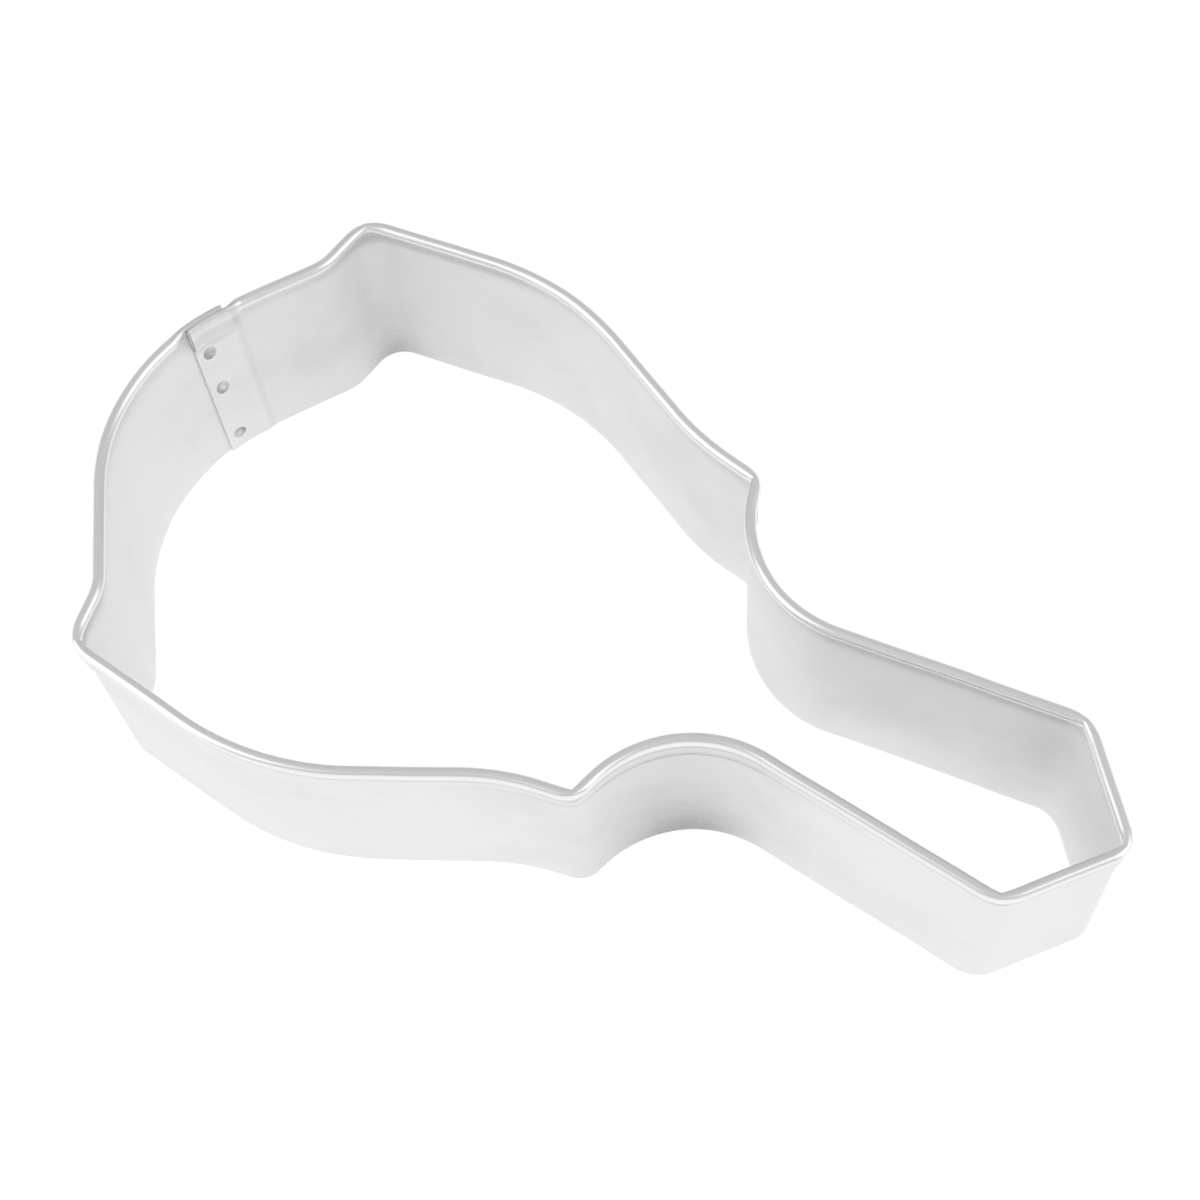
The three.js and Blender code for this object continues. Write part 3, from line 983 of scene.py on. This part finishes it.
def tinplate_material(finish, bead_low):
    """Satin tin with faint rolling lines, dulled patches, painted shade and wear from the mesh, a bare
    cutting edge and a burnished bead
    """
    board = NodeBoard("Bright tinplate")
    rolling = board.noise(board.stretched(ROLLING_LINES), 1.0, detail=2.0, roughness=0.6)
    patches = board.noise(board.coords, TIN_PATCHES, detail=4.0, roughness=0.6)
    grain = board.noise(board.coords, TIN_GRAIN, detail=2.0)
    dulled = board.ranged(patches, PATCH_SPAN, (0.0, finish.patch_dulling))
    lined = board.ranged(rolling, LINE_SPAN, (0.0, finish.line_dulling))
    dull_share = board.math("MAXIMUM", dulled, lined)
    metal = board.mixed(dull_share, rgba(finish.tin), rgba(finish.tin_dull))
    height = board.node("ShaderNodeSeparateXYZ", {0: board.coords}).outputs[2]
    bare_span = (finish.bare_edge, finish.bare_edge + finish.bare_fade)
    base = board.mixed(board.ranged(height, bare_span, (1.0, 0.0)), metal, rgba(finish.steel))
    # Mesh share that mixes in the dark tint: mostly painted shade, with some wear at the lap
    worn = board.share("worn")
    speckled = board.math("MULTIPLY", worn, board.ranged(grain, GRAIN_SPAN, SHADE_AND_WEAR_SPECKLE))
    base = board.mixed(speckled, base, rgba(finish.worn))
    gloss = board.math("MULTIPLY_ADD", patches, PATCH_GLOSS, board.math("MULTIPLY", rolling, LINE_GLOSS))
    rough = board.ranged(gloss, GLOSS_SPAN, (finish.roughness_low, finish.roughness_high))
    burnish_span = (bead_low, bead_low + finish.burnish_fade)
    rough = board.math("MULTIPLY", rough, board.ranged(height, burnish_span, (1.0, finish.burnish)))
    rough = board.math("MULTIPLY_ADD", worn, finish.worn_roughness, rough)
    relief = board.math("MULTIPLY_ADD", grain, GRAIN_RELIEF, rolling)
    return board.finish(
        Base_Color=base,
        Metallic=1.0,
        Roughness=rough,
        Normal=board.bumped(relief, finish.tin_relief, finish.relief_depth),
    )


def weld_material(finish):
    """Dull weld, burnt where the electrode pressed most"""
    board = NodeBoard("Burnt spot weld")
    patches = board.ranged(board.noise(board.coords, WELD_PATCHES), BURN_SPAN, BURN_SPECKLE)
    burn = board.math("MULTIPLY", board.share("burnt"), patches)
    grain = board.noise(board.coords, WELD_GRAIN)
    rough = board.ranged(grain, GRAIN_SPAN, (finish.weld_roughness_low, finish.weld_roughness_high))
    return board.finish(
        Base_Color=board.mixed(burn, rgba(finish.weld), rgba(finish.weld_burn)),
        Metallic=1.0,
        Roughness=rough,
        Normal=board.bumped(grain, finish.weld_relief, finish.relief_depth),
    )


def floor_material(stage):
    """Matt pale floor with a faint mottle"""
    board = NodeBoard("Pale floor")
    mottle = board.ranged(board.noise(board.coords, FLOOR_PATCHES, detail=5.0), MOTTLE_SPAN, (0.0, 1.0))
    return board.finish(
        Base_Color=board.mixed(mottle, rgba(stage.floor), rgba(stage.floor_mottle)),
        Roughness=stage.floor_roughness,
        Specular_IOR_Level=stage.floor_gloss,
        Emission_Color=WHITE,
        Emission_Strength=stage.floor_glow,
    )


def heading(azimuth, elevation):
    """Direction from the cutter towards something on the stage"""
    level = math.cos(elevation)
    return Vector((math.sin(azimuth) * level, -math.cos(azimuth) * level, math.sin(elevation)))


# Operators


class CUTTER_OT_band(bpy.types.Operator):
    """Build the bent strip with its rolled bead and lap seam"""

    bl_idname = "cutter.build_band"
    bl_label = "Build Band"

    def execute(self, context):
        cutter = context.scene.cutter
        path = StripPath(cutter.outline, cutter.seam)
        verts, faces, worn = band_mesh(cutter, path)
        band = new_object("tin_band", verts, faces, worn=worn)
        frames = weld_frames(cutter, path)
        drill_holes(band, [weld_drill(cutter, place, WELD_MARKS[name]) for name, place in frames.items()])
        bead_low = cutter.strip.wall_height - BEAD_FADE * cutter.strip.bead_radius
        place_piece(band, "cutter_band", tinplate_material(cutter.finish, bead_low))
        return {"FINISHED"}


class CUTTER_OT_welds(bpy.types.Operator):
    """Build the three spot welds of the lap seam"""

    bl_idname = "cutter.build_welds"
    bl_label = "Build Spot Welds"

    def execute(self, context):
        cutter = context.scene.cutter
        path = StripPath(cutter.outline, cutter.seam)
        material = weld_material(cutter.finish)
        for name, place in weld_frames(cutter, path).items():
            verts, faces, burnt = weld_mesh(cutter, WELD_MARKS[name])
            weld = new_object(f"weld_mark_{name}", verts, faces, burnt=burnt)
            weld.matrix_world = place
            place_piece(weld, f"spot_weld_{name}", material)
        return {"FINISHED"}


class CUTTER_OT_stage(bpy.types.Operator):
    """Build the floor, the lights and the camera"""

    bl_idname = "cutter.build_stage"
    bl_label = "Build Stage"

    def execute(self, context):
        stage = context.scene.cutter.stage
        self.build_floor(stage)
        self.build_room(context.scene, stage)
        self.build_lamps(context.scene, stage)
        self.build_camera(context.scene, stage)
        return {"FINISHED"}

    def build_floor(self, stage):
        """A round light table under the cutter"""
        turns = np.linspace(0, 2 * math.pi, FLOOR_SPOKES, endpoint=False)
        verts = [(stage.floor_radius * math.cos(t), stage.floor_radius * math.sin(t), 0.0) for t in turns]
        floor = new_object("floor", verts, [tuple(range(len(verts)))])
        floor.data.materials.append(floor_material(stage))

    def build_room(self, scene, stage):
        """A pale room, a little brighter overhead, shown without a tone curve"""
        room = bpy.data.worlds.new("Soft room")
        room.use_nodes = True
        nodes, links = room.node_tree.nodes, room.node_tree.links
        way = nodes.new("ShaderNodeTexCoord")
        parts = nodes.new("ShaderNodeSeparateXYZ")
        rise = nodes.new("ShaderNodeMapRange")
        rise.inputs["To Min"].default_value = stage.sky_low
        rise.inputs["To Max"].default_value = stage.sky_high
        links.new(way.outputs["Generated"], parts.inputs[0])
        links.new(parts.outputs[2], rise.inputs["Value"])
        links.new(rise.outputs[0], nodes["Background"].inputs["Strength"])
        nodes["Background"].inputs["Color"].default_value = WHITE
        scene.world = room
        scene.view_settings.view_transform = "Standard"

    def build_lamps(self, scene, stage):
        """Two soft lamps and a card in front"""
        lamp_size = (stage.lamp_width, stage.lamp_height, stage.lamp_power)
        card_size = (stage.card_width, stage.card_height, stage.card_power)
        lamps = {
            "Left lamp": (stage.lamp_left, stage.lamp_elevation, lamp_size),
            "Right lamp": (stage.lamp_right, stage.lamp_elevation, lamp_size),
            "Front card": (stage.card_azimuth, stage.card_elevation, card_size),
        }
        for name, (azimuth, elevation, (width, height, watts)) in lamps.items():
            lamp = bpy.data.lights.new(name, "AREA")
            lamp.shape = "RECTANGLE"
            lamp.size = width
            lamp.size_y = height
            lamp.energy = watts
            holder = bpy.data.objects.new(name, lamp)
            out = heading(azimuth, elevation)
            holder.location = out * stage.lamp_distance
            holder.rotation_euler = out.to_track_quat("Z", "Y").to_euler()
            scene.collection.objects.link(holder)

    def build_camera(self, scene, stage):
        """The camera at the photograph's angle"""
        azimuth, elevation, roll = stage.camera_azimuth, stage.camera_elevation, stage.camera_roll
        level = Vector((math.cos(azimuth), math.sin(azimuth), 0))
        back = heading(azimuth, elevation)
        upright = back.cross(level)
        right = level * math.cos(roll) + upright * math.sin(roll)
        up = back.cross(right)
        data = bpy.data.cameras.new("Photo camera")
        data.lens = stage.camera_lens
        data.clip_start = stage.camera_clip
        camera = bpy.data.objects.new("Photo camera", data)
        turn = Matrix((right, up, back)).transposed().to_4x4()
        spot = Vector(stage.camera_aim) + back * stage.camera_distance
        camera.matrix_world = Matrix.Translation(spot) @ turn
        scene.collection.objects.link(camera)
        scene.camera = camera


class CUTTER_PT_panel(bpy.types.Panel):
    """Sizes, finishes and builders of the cookie cutter"""

    bl_idname = "CUTTER_PT_panel"
    bl_label = "Cookie Cutter"
    bl_space_type = "VIEW_3D"
    bl_region_type = "UI"
    bl_category = "Cutter"

    def draw(self, context):
        cutter = context.scene.cutter
        for operator in OPERATORS:
            self.layout.operator(operator.bl_idname)
        for name in ("outline", "strip", "seam", "welds", "finish", "stage"):
            group = getattr(cutter, name)
            box = self.layout.box()
            box.label(text=name.capitalize())
            for prop in group.bl_rna.properties:
                if not prop.is_readonly and prop.identifier != "name":
                    box.prop(group, prop.identifier)


OPERATORS = (CUTTER_OT_band, CUTTER_OT_welds, CUTTER_OT_stage)
GROUPS = (CutterOutline, CutterStrip, CutterSeam, CutterWelds, CutterFinish, CutterStage, CutterSettings)
CLASSES = (*GROUPS, *OPERATORS, CUTTER_PT_panel)


def register():
    for cls in CLASSES:
        bpy.utils.register_class(cls)
    bpy.types.Scene.cutter = PointerProperty(type=CutterSettings)


def unregister():
    del bpy.types.Scene.cutter
    for cls in reversed(CLASSES):
        bpy.utils.unregister_class(cls)


def main():
    register()
    bpy.ops.cutter.build_band()
    bpy.ops.cutter.build_welds()
    bpy.ops.cutter.build_stage()


if __name__ == "__main__":
    main()
